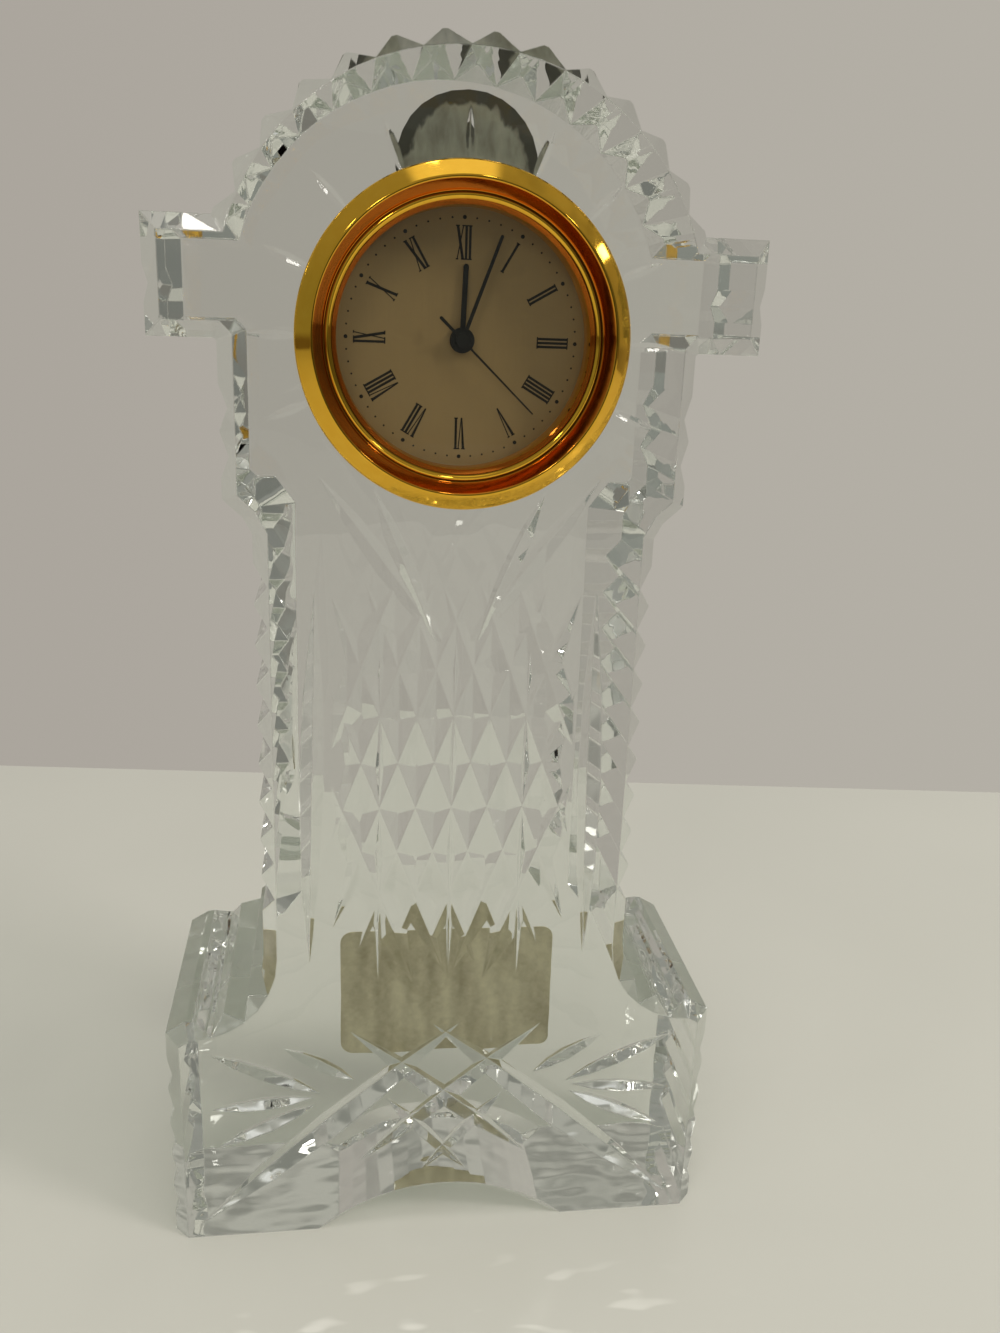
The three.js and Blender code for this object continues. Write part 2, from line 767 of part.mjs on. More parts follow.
function settingKnob() {
  const body = disc(knobRadius, knobNear, knobNear + knobLength, 24);
  const socket = disc(stemRadius + pressGap, knobNear - 1, knobNear + 0.7 * knobLength, 16);
  const flutes = Array.from({ length: 12 }, (_, i) => {
    const [x, z] = polar(knobRadius + 0.15, i * 30);
    return disc(0.35, knobNear - 1, knobNear + knobLength + 1, 6).translate(x, 0, z);
  });
  return cut(body, socket, ...flutes);
}

// Hands

function handShape(length, root, tip, tail) {
  const shoulder = length - tip;
  return shapeOf([
    [-root / 2, -tail], [root / 2, -tail], [tip / 2, shoulder], [0, length], [-tip / 2, shoulder],
  ]);
}

function clockwise(geometry, degrees) {
  return geometry.rotateY(rad(degrees));
}

function hourHand() {
  const blade = slab(handShape(hourLength, 0.85, 0.75, 0.4), hourDepth, hourDepth + handThick);
  const boss = disc(hourPipeOuter + 0.55, hourDepth, hourDepth + handThick, 20);
  return clockwise(cut(join(blade, boss), disc(hourPipeOuter + pressGap, 0, plateFar, 16)), hourAngle);
}

function minuteHand() {
  const blade = slab(handShape(minuteLength, 0.75, 0.35, 0.4), minuteDepth, minuteDepth + handThick);
  const boss = disc(hubRadius, minuteDepth, minuteDepth + handThick, 24);
  return clockwise(cut(join(blade, boss), disc(cannonOuter + pressGap, 0, plateFar, 16)), minuteAngle);
}

function secondHand() {
  const near = secondDepth;
  const blade = slab(handShape(secondLength, 0.3, 0.16, secondTail), near, near + 0.7 * handThick);
  const boss = disc(0.95, near - 0.5 * handThick, near + 1.5 * handThick, 20);
  const hole = disc(arborRadius + pressGap, near, plateFar, 16);
  return clockwise(cut(join(blade, boss), hole), secondAngle);
}

// Movement frame and motor

const [thirdX, thirdZ] = polar(thirdDistance, thirdAngle);
const [fifthX, fifthZ] = polar(fifthDistance, fifthAngle);
const rotorX = fifthX + polar(rotorDistance, rotorAngle)[0];
const rotorZ = fifthZ + polar(rotorDistance, rotorAngle)[1];
const [motionX, motionZ] = polar(motionDistance, motionAngle);
const pillars = pillarPlaces.map(([share, degrees]) => polar(share * plateRadius, degrees));

function holeAt(x, z, radius, near, far) {
  return disc(radius, near, far, 10).translate(x, 0, z);
}

function mainPlate() {
  const plate = disc(plateRadius, plateFront, plateFar, 36);
  const posts = pillars.map(([x, z]) => {
    return disc(pillarRadius, plateFar - 0.2, bridgeFront - partGap, 12).translate(x, 0, z);
  });
  const pivots = [[thirdX, thirdZ], [fifthX, fifthZ], [rotorX, rotorZ], [motionX, motionZ]];
  const holes = [
    holeAt(0, 0, cannonOuter + runClear, plateFront - 1, plateFar + 1),
    holeAt(stemX, stemZ, stemRadius + runClear, plateFront - 1, plateFar + 1),
    ...pivots.map(([x, z]) => holeAt(x, z, arborRadius + 0.1, plateFront - 1, plateFar + 1)),
    ...pillars.map(([x, z]) => holeAt(x, z, screwRadius + 0.2, plateFar, bridgeFront + 1)),
  ];
  return cut(join(plate, ...posts), ...holes);
}

function trainBridge() {
  const plate = disc(bridgeRadius, bridgeFront, bridgeFar, 36);
  const pivots = [[0, 0], [thirdX, thirdZ], [fifthX, fifthZ], [rotorX, rotorZ]];
  const holes = [
    holeAt(stemX, stemZ, stemRadius + runClear, bridgeFront - 1, bridgeFar + 1),
    ...pivots.map(([x, z]) => holeAt(x, z, arborRadius + 0.1, bridgeFront - 1, bridgeFar + 1)),
    ...pillars.map(([x, z]) => holeAt(x, z, screwRadius + 0.2, bridgeFront - 1, bridgeFar + 1)),
  ];
  return cut(plate, ...holes);
}

function plateScrew(x, z) {
  const head = disc(screwHead, boardNear, boardNear + 0.6, 16);
  const shank = disc(screwRadius, plateFar + 0.6, boardNear + 0.1, 12);
  const slot = new THREE.BoxGeometry(2.2 * screwHead, 0.5, 0.35).translate(0, boardNear + 0.6, 0);
  return cut(join(head, shank), slot).translate(x, 0, z);
}

function stator() {
  const [outer, inner] = [coilHalf + 2.8, coilHalf + 0.9];
  const [top, waist, foot] = [coilZ + 0.5, coilZ - 3, coilZ - 5.1];
  const bar = shapeOf([
    [-outer, foot], [outer, foot], [outer, top], [inner, top],
    [inner, waist], [-inner, waist], [-inner, top], [-outer, top],
  ]);
  const far = statorNear + statorThick;
  const eye = disc(statorBore + statorRim, statorNear, far, 28).translate(rotorX, 0, rotorZ);
  const hole = disc(statorBore, statorNear - 1, far + 1, 28).translate(rotorX, 0, rotorZ);
  return cut(join(slab(bar, statorNear, far), eye), hole);
}

function coilCore() {
  return new THREE.BoxGeometry(2 * coilHalf + 5.2, coreThick, 1.2).translate(0, coilAxis, coilZ);
}

// The bobbin's tube and its two flanges, along X through the core.
function coilBobbin() {
  const tube = new THREE.CylinderGeometry(1.15, 1.15, 2 * coilHalf, 16).rotateZ(Math.PI / 2);
  const flange = (x) => new THREE.CylinderGeometry(coilRadius, coilRadius, 0.5, 24).rotateZ(Math.PI / 2)
    .translate(x, 0, 0);
  const slot = new THREE.BoxGeometry(2 * coilHalf + 4, 1.2, 1.6);
  const bobbin = join(tube, flange(-coilHalf + 0.25), flange(coilHalf - 0.25));
  return cut(bobbin, slot).translate(0, coilAxis, coilZ);
}

function coilWinding() {
  const half = coilHalf - 0.5 - 0.2;
  const outer = new THREE.CylinderGeometry(coilRadius - 0.05, coilRadius - 0.05, 2 * half, 24);
  const inner = new THREE.CylinderGeometry(1.3, 1.3, 2 * half + 2, 16);
  return cut(outer, inner).rotateZ(Math.PI / 2).translate(0, coilAxis, coilZ);
}

// Electronics, behind the bridge

const [cellX, cellZ] = polar(cellDistance, cellAngle);

function circuitBoard() {
  const edge = Array.from({ length: 13 }, (_, i) => polar(boardRadius, 168 - i * 13));
  const corner = 0.625 * boardRadius;
  const foot = cellZ + cellRadius + 0.8;
  const shape = shapeOf([...edge, [corner, foot], [-corner, foot]].reverse());
  const board = slab(shape, boardNear, boardFar);
  return cut(board, holeAt(stemX, stemZ, stemRadius + 0.4, boardNear - 1, boardFar + 1));
}

function timingCrystal() {
  const can = new THREE.CylinderGeometry(1, 1, 6, 20).rotateZ(Math.PI / 2);
  return can.translate(-0.36 * boardRadius, boardFar + partGap + 1, 0.6 * boardRadius);
}

function chipCap() {
  const near = boardFar;
  const dome = [[0, near + 0.9], [0.9, near + 0.75], [1.6, near + 0.4], [1.9, near]];
  const points = [new THREE.Vector2(0, near), new THREE.Vector2(1.9, near)];
  points.push(...dome.slice(0, 3).reverse().map(([r, d]) => new THREE.Vector2(r, d)));
  return new THREE.LatheGeometry(points, 14).translate(-2.2, 0, 3.4);
}

function batteryCell() {
  const [r, near, far] = [cellRadius, cellNear, cellNear + cellThick];
  const profile = [
    [0, near], [r - 0.9, near], [r - 0.9, near + 0.35], [r - 0.25, near + 0.45], [r, near + 0.8],
    [r, far - 0.2], [r - 0.2, far], [0, far],
  ];
  const points = profile.map(([radius, depth]) => new THREE.Vector2(radius, depth));
  return new THREE.LatheGeometry(points, 28).translate(cellX, 0, cellZ);
}

// Spring strips that touch the cell: one under its negative face, one on its rim.
function cellContactMinus() {
  return new THREE.BoxGeometry(1.2 * cellRadius, 0.2, 1.6).translate(cellX + 1.2, bridgeFar + 0.15, cellZ);
}

function cellContactPlus() {
  const x = cellX + cellRadius + partGap + 0.15;
  const blade = new THREE.BoxGeometry(0.3, 2.6, 4).translate(x, boardNear + 1.9, cellZ);
  const foot = new THREE.BoxGeometry(2.6, 0.3, 4).translate(x + 1.15, boardNear + 0.45, cellZ);
  return join(blade, foot);
}

// Finishes

function finish(color, roughness, metalness, extra = {}) {
  return new THREE.MeshStandardMaterial({ color, roughness, metalness, ...extra });
}

const finishes = {
  crystal: () => finish(0xdfe6e2, 0.03, 0, { transparent: true, opacity: 0.45 }),
  glass: () => finish(0xf2f5f4, 0.03, 0, { transparent: true, opacity: 0.25 }),
  gilt: () => finish(0xd9a02e, 0.18, 1),
  dialMetal: () => finish(0xa5906b, 0.35, 0.9),
  handBlack: () => finish(0x141210, 0.4, 0.2),
  steel: () => finish(0xb8babb, 0.3, 1),
  brass: () => finish(0xc39a4c, 0.3, 1),
  plastic: () => finish(0xe4e2da, 0.5, 0),
  clearRubber: () => finish(0xcfd3cf, 0.5, 0, { transparent: true, opacity: 0.6 }),
  copper: () => finish(0xa8552a, 0.35, 1),
  board: () => finish(0x23523a, 0.5, 0),
  epoxy: () => finish(0x161616, 0.35, 0),
  foil: () => finish(0x6f6e62, 0.35, 0.7),
  paper: () => finish(0xa48b5e, 0.85, 0),
};

const clock = new THREE.Group();
const insert = new THREE.Group();
clock.position.y = frontY;
insert.position.z = dialZ;
clock.add(insert);

function place(parent, name, geometry, material, x = 0, z = 0) {
  const mesh = new THREE.Mesh(geometry, material());
  mesh.name = name;
  mesh.position.set(x, 0, z);
  parent.add(mesh);
}

place(clock, "crystal_body", crystalBody(), finishes.crystal);
place(clock, "rear_foil_label", foilLabel(), finishes.foil);
place(clock, "rear_paper_label", paperLabel(), finishes.paper);

place(insert, "bezel", bezel(), finishes.gilt);
place(insert, "lens", lens(), finishes.glass);
place(insert, "spacer_ring", spacerRing(), finishes.gilt);
place(insert, "dial", dial(), finishes.dialMetal);
place(insert, "insert_case", insertCase(), finishes.steel);
place(insert, "case_back", caseBack(), finishes.steel);
place(insert, "grip_ring", gripRing(), finishes.clearRubber);

place(insert, "hour_hand", hourHand(), finishes.handBlack);
place(insert, "minute_hand", minuteHand(), finishes.handBlack);
place(insert, "second_hand", secondHand(), finishes.handBlack);

place(insert, "main_plate", mainPlate(), finishes.brass);
place(insert, "train_bridge", trainBridge(), finishes.brass);
pillars.forEach(([x, z], i) => place(insert, `plate_screw_${i + 1}`, plateScrew(x, z), finishes.steel));

place(insert, "seconds_wheel", secondsWheel(), finishes.brass);
place(insert, "third_wheel", thirdWheel(), finishes.brass, thirdX, thirdZ);
place(insert, "centre_wheel", centreWheel(), finishes.brass);
place(insert, "fifth_wheel", fifthWheel(), finishes.plastic, fifthX, fifthZ);
place(insert, "rotor", rotor(), finishes.steel, rotorX, rotorZ);
place(insert, "cannon_pinion", cannonPinion(), finishes.steel);
place(insert, "minute_wheel", minuteWheel(), finishes.plastic, motionX, motionZ);
place(insert, "hour_wheel", hourWheel(), finishes.brass);
place(insert, "setting_stem", settingStem(), finishes.steel, stemX, stemZ);
place(insert, "setting_knob", settingKnob(), finishes.brass, stemX, stemZ);

place(insert, "stator", stator(), finishes.steel);
place(insert, "coil_core", coilCore(), finishes.steel);
place(insert, "coil_bobbin", coilBobbin(), finishes.plastic);
place(insert, "coil_winding", coilWinding(), finishes.copper);
place(insert, "circuit_board", circuitBoard(), finishes.board);
place(insert, "timing_crystal", timingCrystal(), finishes.steel);
place(insert, "chip_cap", chipCap(), finishes.epoxy);
place(insert, "battery_cell", batteryCell(), finishes.steel);
place(insert, "cell_contact_minus", cellContactMinus(), finishes.steel);
place(insert, "cell_contact_plus", cellContactPlus(), finishes.steel);

export default clock;
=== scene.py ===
"""Looks of the small cut-crystal table clock, section by section as it is put together.
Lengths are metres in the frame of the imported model, except where a comment says millimetres."""
import json
import math

import bpy
from mathutils import Matrix, Vector

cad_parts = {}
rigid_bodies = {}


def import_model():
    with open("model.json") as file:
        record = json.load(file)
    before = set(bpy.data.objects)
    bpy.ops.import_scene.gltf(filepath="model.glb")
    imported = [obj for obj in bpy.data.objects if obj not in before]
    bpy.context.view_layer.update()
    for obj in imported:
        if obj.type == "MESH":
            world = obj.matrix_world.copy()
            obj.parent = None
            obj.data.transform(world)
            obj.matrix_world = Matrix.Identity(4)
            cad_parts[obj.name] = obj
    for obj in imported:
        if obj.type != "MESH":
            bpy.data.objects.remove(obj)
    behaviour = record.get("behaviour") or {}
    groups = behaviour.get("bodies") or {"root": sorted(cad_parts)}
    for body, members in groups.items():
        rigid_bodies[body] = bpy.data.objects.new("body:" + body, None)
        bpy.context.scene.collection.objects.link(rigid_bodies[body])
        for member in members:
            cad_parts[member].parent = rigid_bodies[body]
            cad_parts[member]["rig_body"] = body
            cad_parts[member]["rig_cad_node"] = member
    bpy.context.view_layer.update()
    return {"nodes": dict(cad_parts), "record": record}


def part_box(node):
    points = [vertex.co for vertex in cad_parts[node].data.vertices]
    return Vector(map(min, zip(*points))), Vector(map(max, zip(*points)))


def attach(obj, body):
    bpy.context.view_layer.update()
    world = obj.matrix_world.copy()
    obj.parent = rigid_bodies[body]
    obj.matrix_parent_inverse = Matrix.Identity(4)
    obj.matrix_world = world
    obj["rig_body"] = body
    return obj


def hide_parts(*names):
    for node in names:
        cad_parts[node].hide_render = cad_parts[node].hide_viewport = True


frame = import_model()
nodes = frame["nodes"]


# Crystal block. Pressed from a gob of clear lead crystal, then ground on V wheels and polished
# with acid, which leaves its facets slightly wavy and their edges slightly round. The packed
# solid keeps its own cut shape. The bore is left as ground, so its wall and floor are frosted.

MM = 0.001
CRYSTAL_COLOUR = (0.885, 0.908, 0.882)
CRYSTAL_INDEX = 1.545
CRYSTAL_SHADE = (0.62, 0.65, 0.62)
WAVE_SIZE = 9 * MM
WAVE_HEIGHT = 0.08 * MM
BASE_WAVE_SIZE = 6.5 * MM
BASE_WAVE_SHARE = 2.4
BASE_WAVE_END = (28 * MM, 40 * MM)
EDGE_ROUND = 0.3 * MM
BORE_RADIUS = 18.3 * MM
BORE_SLACK = 0.15 * MM
BORE_MOUTH = 0.05 * MM
BORE_FROST = 0.42
KNOB_ROOM = 4 * MM
FRONT_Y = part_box("crystal_body")[0][1]
DIAL_Z = (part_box("dial")[0][2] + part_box("dial")[1][2]) / 2
BORE_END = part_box("case_back")[1][1] + KNOB_ROOM


class Wire:
    """One socket of a node tree. Arithmetic on it adds Math nodes."""

    def __init__(self, owner, socket):
        self.owner = owner
        self.socket = socket

    def __add__(self, other):
        return self.owner.math("ADD", self, other)

    def __sub__(self, other):
        return self.owner.math("SUBTRACT", self, other)

    def __mul__(self, other):
        return self.owner.math("MULTIPLY", self, other)

    def __rsub__(self, other):
        return self.owner.math("SUBTRACT", other, self)

    def __gt__(self, other):
        return self.owner.math("GREATER_THAN", self, other)

    def __lt__(self, other):
        return self.owner.math("LESS_THAN", self, other)

    __radd__ = __add__
    __rmul__ = __mul__

    def between(self, low, high):
        """Low where the wire carries 0, and high where it carries 1."""
        return self * (high - low) + low


class Nodes:
    """The nodes of one tree, which belongs to a finish or to the room."""

    def __init__(self, tree):
        self.tree = tree

    def add(self, kind, settings=None, values=None, output=0):
        """A node of one kind, with its settings first and then its sockets' values or links."""
        node = self.tree.nodes.new("ShaderNode" + kind)
        for key, value in (settings or {}).items():
            if key == "stops":
                for stop, (position, colour) in zip(node.color_ramp.elements, value):
                    stop.position = position
                    stop.color = (*colour, 1)
            else:
                setattr(node, key, value)
        for key, value in (values or {}).items():
            if isinstance(value, Wire):
                self.tree.links.new(value.socket, node.inputs[key])
            else:
                node.inputs[key].default_value = value
        return Wire(self, node.outputs[output])

    def math(self, operation, *values):
        return self.add("Math", {"operation": operation}, dict(enumerate(values)))

    def spot(self, shift=(0, 0, 0), scale=(1, 1, 1)):
        """Object coordinates in metres, moved by shift and then stretched by scale."""
        place = self.add("TexCoord", output="Object")
        moved = self.add("VectorMath", {"operation": "ADD"}, {0: place, 1: shift})
        return self.add("VectorMath", {"operation": "MULTIPLY"}, {0: moved, 1: scale})

    def part(self, vector, axis):
        return self.add("SeparateXYZ", {}, {0: vector}, output=axis)

    def length(self, vector):
        return self.add("VectorMath", {"operation": "LENGTH"}, {0: vector}, output="Value")

    def noise(self, size, detail=3.0, rough=0.55):
        """Cloudy noise whose grains measure size, in metres, along each axis."""
        sizes = size if hasattr(size, "__len__") else (size,) * 3
        where = self.spot(scale=tuple(1 / length for length in sizes))
        return self.add("TexNoise", {"noise_dimensions": "3D"},
                        {"Vector": where, "Scale": 1.0, "Detail": detail, "Roughness": rough})

    def fade(self, value, start, end):
        """0 up to start, 1 from end on, and smooth between them."""
        return self.add("MapRange", {"interpolation_type": "SMOOTHSTEP"},
                        {0: value, 1: start, 2: end, 3: 0.0, 4: 1.0})

    def ramp(self, value, stops):
        return self.add("ValToRGB", {"stops": stops}, {"Fac": value})

    def mix(self, share, first, second):
        """The first colour where share is 0, and the second where it is 1."""
        mixed = self.add("Mix", {"data_type": "RGBA"}, {0: share}, output=2)
        for index, colour in ((6, first), (7, second)):
            socket = mixed.socket.node.inputs[index]
            if isinstance(colour, Wire):
                self.tree.links.new(colour.socket, socket)
            else:
                socket.default_value = (*colour, 1)
        return mixed

    def bump(self, height, relief, **under):
        """The surface raised by relief where height is 1, over a normal if one is given."""
        return self.add("Bump", {}, {"Height": height, "Strength": 1.0, "Distance": relief, **under})


class Finish(Nodes):
    """A material on one Principled shader, with the nodes that vary it over the surface."""

    def __init__(self, name, colour, roughness, metal=0.0, **constants):
        self.material = bpy.data.materials.new(name)
        self.material.use_nodes = True
        super().__init__(self.material.node_tree)
        self.shader = self.tree.nodes["Principled BSDF"]
        self.output = self.tree.nodes["Material Output"]
        settings = {"Base Color": (*colour, 1), "Roughness": roughness, "Metallic": metal}
        settings.update({key.replace("_", " "): value for key, value in constants.items()})
        for key, value in settings.items():
            self.shader.inputs[key].default_value = value

    def feed(self, **wires):
        for key, wire in wires.items():
            self.tree.links.new(wire.socket, self.shader.inputs[key.replace("_", " ")])

    def grain(self, cloud, rough, relief):
        """Lets a cloud vary the roughness between two values and raise the surface by relief."""
        self.feed(Roughness=cloud.between(*rough), Normal=self.bump(cloud, relief))

    def let_lamps_through(self, colour):
        """Glass that dims what lamps shine through it, in place of a full shadow."""
        clear = self.add("BsdfTransparent", {}, {"Color": (*colour, 1)})
        path = self.add("LightPath", output="Is Shadow Ray")
        both = self.add("MixShader", {}, {0: path, 1: Wire(self, self.shader.outputs[0]), 2: clear})
        self.tree.links.new(both.socket, self.output.inputs["Surface"])

    def coat(self, piece):
        """Puts the finish on a piece in place of what it has."""
        piece.data.materials.clear()
        piece.data.materials.append(self.material)
        for face in piece.data.polygons:
            face.material_index = 0
        return piece


crystal = Finish("cut crystal", CRYSTAL_COLOUR, 0.0, IOR=CRYSTAL_INDEX, Transmission_Weight=1.0)
at_base = 1 - crystal.fade(crystal.part(crystal.spot(), 2), *BASE_WAVE_END)
base_wave = crystal.noise(BASE_WAVE_SIZE, detail=0.3) * at_base * BASE_WAVE_SHARE
wave = crystal.noise(WAVE_SIZE, detail=0.6) + base_wave
eased_edges = crystal.add("Bevel", {"samples": 6}, {"Radius": EDGE_ROUND})
crystal.feed(Normal=crystal.bump(wave, WAVE_HEIGHT, Normal=eased_edges))

inward = crystal.part(crystal.spot(), 1)
in_bore = crystal.length(crystal.spot((0, 0, -DIAL_Z), (1, 0, 1))) < BORE_RADIUS + BORE_SLACK
behind_front = inward > FRONT_Y + BORE_MOUTH
before_end = inward < BORE_END
crystal.feed(Roughness=in_bore * behind_front * before_end * BORE_FROST)
crystal.let_lamps_through(CRYSTAL_SHADE)
crystal.coat(nodes["crystal_body"])


# Labels, stuck on the rear face and seen through the block: a thin grey foil dome high up and a
# tan paper slip at the foot. Both are blank. Each near face stands off the glass by a hair.

LABEL_GAP = 0.03 * MM
LABEL_WELD = 0.002 * MM
LABEL_FLAT = math.radians(0.4)
FOIL_MIDDLE = (2.2 * MM, 161 * MM)
FOIL_REACH = (10.2 * MM, 11.8 * MM)
FOIL_CLOUD = (2.2 * MM, 2 * MM, 5 * MM)
FOIL_RAGGED = 0.4
FOIL_RIM_BAND = (1.02, 1.1)
FOIL_DARK = (0.33, 0.30, 0.235)
FOIL_LIGHT = (0.62, 0.585, 0.485)
FOIL_RIM = (0.09, 0.08, 0.06)
PAPER_CLOUD = 1.1 * MM
PAPER_STREAK = (3.5 * MM, 2 * MM, 14 * MM)
PAPER_STREAK_SHARE = 0.7
PAPER_DARK = (0.45, 0.37, 0.215)
PAPER_LIGHT = (0.83, 0.73, 0.50)


def only(piece):
    """Selects one piece and nothing else."""
    bpy.ops.object.select_all(action="DESELECT")
    piece.select_set(True)
    bpy.context.view_layer.objects.active = piece


def merged_copy(node, name):
    """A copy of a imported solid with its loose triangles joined."""
    piece = nodes[node].copy()
    piece.data = nodes[node].data.copy()
    piece.name = piece.data.name = name
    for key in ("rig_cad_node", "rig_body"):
        if key in piece:
            del piece[key]
    bpy.context.scene.collection.objects.link(piece)
    piece.parent = None
    only(piece)
    bpy.ops.object.mode_set(mode="EDIT")
    bpy.ops.mesh.select_all(action="SELECT")
    bpy.ops.mesh.remove_doubles(threshold=LABEL_WELD)
    bpy.ops.mesh.dissolve_limited(angle_limit=LABEL_FLAT)
    bpy.ops.object.mode_set(mode="OBJECT")
    return piece


foil = Finish("grey foil", FOIL_DARK, 0.42, metal=0.35)
foil_spot = foil.spot((-FOIL_MIDDLE[0], 0, -FOIL_MIDDLE[1]), (1 / FOIL_REACH[0], 0, 1 / FOIL_REACH[1]))
foil_cloud = foil.noise(FOIL_CLOUD)
foil_rim = foil.fade(foil.length(foil_spot) + foil_cloud * FOIL_RAGGED, *FOIL_RIM_BAND)
foil_centre = foil.ramp(foil_cloud, [(0.3, FOIL_DARK), (0.7, FOIL_LIGHT)])
foil.feed(Base_Color=foil.mix(foil_rim, foil_centre, FOIL_RIM))
foil.grain(foil_cloud, rough=(0.3, 0.6), relief=0.1 * MM)

paper = Finish("tan paper", PAPER_DARK, 0.8)
paper_cloud = paper.noise(PAPER_CLOUD, detail=4.0)
paper_streak = paper.noise(PAPER_STREAK, detail=1.0)
paper_shade = paper_cloud * (1 - PAPER_STREAK_SHARE) + paper_streak * PAPER_STREAK_SHARE
paper.feed(Base_Color=paper.ramp(paper_shade, [(0.32, PAPER_DARK), (0.66, PAPER_LIGHT)]))
paper.feed(Normal=paper.bump(paper_cloud, 0.02 * MM))

for name, finish, slot in (("foil_label", foil, "foil"), ("paper_label", paper, "paper")):
    node = "rear_" + name
    label = finish.coat(merged_copy(node, name))
    near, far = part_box(node)[0][1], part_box(node)[1][1]
    for vertex in label.data.vertices:
        if vertex.co.y < (near + far) / 2:
            vertex.co.y = near + LABEL_GAP
    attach(label, "clock_body")
    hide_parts(node)


# Bezel and spacer ring: turned brass, polished and gold plated. The bezel has a flat bevelled
# flange, a narrow ridge, a dished slope down to a bead, and a lip that holds the lens. The dish
# and the lip are painted redder on their front, a painted reflection of the plating in itself.

# Radius and depth behind the block's front face, in millimetres, round each ring's section.
BEZEL_SECTION = [
    (21.6, 0), (21.6, -0.72), (21.5, -0.9), (21.42, -0.985), (21.36, -1.04),
    (19.72, -2.563), (19.65, -2.62), (19.52, -2.69), (19.36, -2.7), (19.24, -2.65), (19.17, -2.57),
    (18.05, -1.04), (18.0, -0.98), (17.93, -0.94), (17.8, -0.94), (17.65, -1.04),
    (17.5, -1.1), (17.36, -1.1), (17.24, -1.02), (17.14, -0.92), (17.04, -0.89), (16.92, -0.87),
    (16.86, -0.8), (16.45, -0.12), (16.4, -0.04), (16.4, 0),
    (17.55, 0), (17.55, 7), (18, 7), (18, 0)]
SPACER_SECTION = [(16.75, 1.62), (16.78, 1.6), (17.25, 1.6), (17.25, 4), (16.38, 4), (16.35, 3.95)]
RING_STEPS = 144
TURN_WELD = 0.0005 * MM
TURN_SMOOTH = math.radians(28)
WEAR_SIZE = 1.6 * MM
DISH_INNER = (17.8 * MM, 18.0 * MM)
DISH_OUTER = (19.15 * MM, 19.35 * MM)
LIP_EDGE = (16.9 * MM, 17.1 * MM)
OUTSIDE_Y = FRONT_Y - 0.02 * MM
GOLD_DULL = (0.84, 0.45, 0.035)
GOLD_BRIGHT = (0.94, 0.55, 0.06)
GOLD_PAINTED_REFLECTION = (0.66, 0.19, 0.02)


def turned(name, section, steps):
    """A ring spun round the dial's axis from a closed section, given in millimetres."""
    bpy.ops.object.select_all(action="DESELECT")
    bpy.ops.mesh.primitive_circle_add(vertices=len(section), radius=MM)
    piece = bpy.context.object
    piece.name = piece.data.name = name
    for vertex, (radius, depth) in zip(piece.data.vertices, section):
        vertex.co = (radius * MM, FRONT_Y + depth * MM, DIAL_Z)
    bpy.ops.object.mode_set(mode="EDIT")
    bpy.ops.mesh.select_all(action="SELECT")
    bpy.ops.mesh.spin(steps=steps, angle=2 * math.pi, center=(0, 0, DIAL_Z), axis=(0, 1, 0))
    bpy.ops.mesh.select_all(action="SELECT")
    bpy.ops.mesh.remove_doubles(threshold=TURN_WELD)
    bpy.ops.mesh.delete_loose(use_verts=True, use_edges=True, use_faces=False)
    bpy.ops.mesh.select_all(action="SELECT")
    bpy.ops.mesh.normals_make_consistent(inside=False)
    bpy.ops.object.mode_set(mode="OBJECT")
    bpy.ops.object.shade_smooth_by_angle(angle=TURN_SMOOTH)
    return piece


gilt = Finish("gold plate", GOLD_DULL, 0.07, metal=1.0)
wear = gilt.noise(WEAR_SIZE, detail=4.0)
from_axis = gilt.length(gilt.spot((0, 0, -DIAL_Z), (1, 0, 1)))
dish_painted_reflection = gilt.fade(from_axis, *DISH_INNER) * (1 - gilt.fade(from_axis, *DISH_OUTER))
lip_painted_reflection = 1 - gilt.fade(from_axis, *LIP_EDGE)
outside = gilt.part(gilt.spot(), 1) < OUTSIDE_Y
gold = gilt.mix(wear, GOLD_DULL, GOLD_BRIGHT)
# Painted reflection: the front of the dish and of the lip take a redder gold.
gilt.feed(Base_Color=gilt.mix((dish_painted_reflection + lip_painted_reflection) * outside, gold, GOLD_PAINTED_REFLECTION))
gilt.grain(wear, rough=(0.03, 0.11), relief=0.004 * MM)

for node, name, section in (("bezel", "gilt_bezel", BEZEL_SECTION),
                            ("spacer_ring", "gilt_spacer", SPACER_SECTION)):
    ring = gilt.coat(turned(name, section, RING_STEPS))
    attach(ring, "insert")
    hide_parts(node)


# Lens: a flat disc of clear glass, cut from sheet and held behind the bezel's lip. The packed
# solid keeps its shape and gets a glass that is very slightly uneven.

LENS_COLOUR = (0.98, 0.985, 0.98)
LENS_INDEX = 1.45
LENS_SHADE = (0.97, 0.97, 0.96)
LENS_WAVE_SIZE = 9 * MM
LENS_WAVE_HEIGHT = 0.004 * MM

lens = Finish("lens glass", LENS_COLOUR, 0.0, IOR=LENS_INDEX, Transmission_Weight=1.0)
lens.feed(Normal=lens.bump(lens.noise(LENS_WAVE_SIZE, detail=1.0), LENS_WAVE_HEIGHT))
lens.let_lamps_through(LENS_SHADE)
lens.coat(nodes["lens"])


# Dial: thin aluminium, brushed upright and lacquered champagne. The figures and the minute dots
# are printed on it in black, with their feet towards the centre and four written IIII.

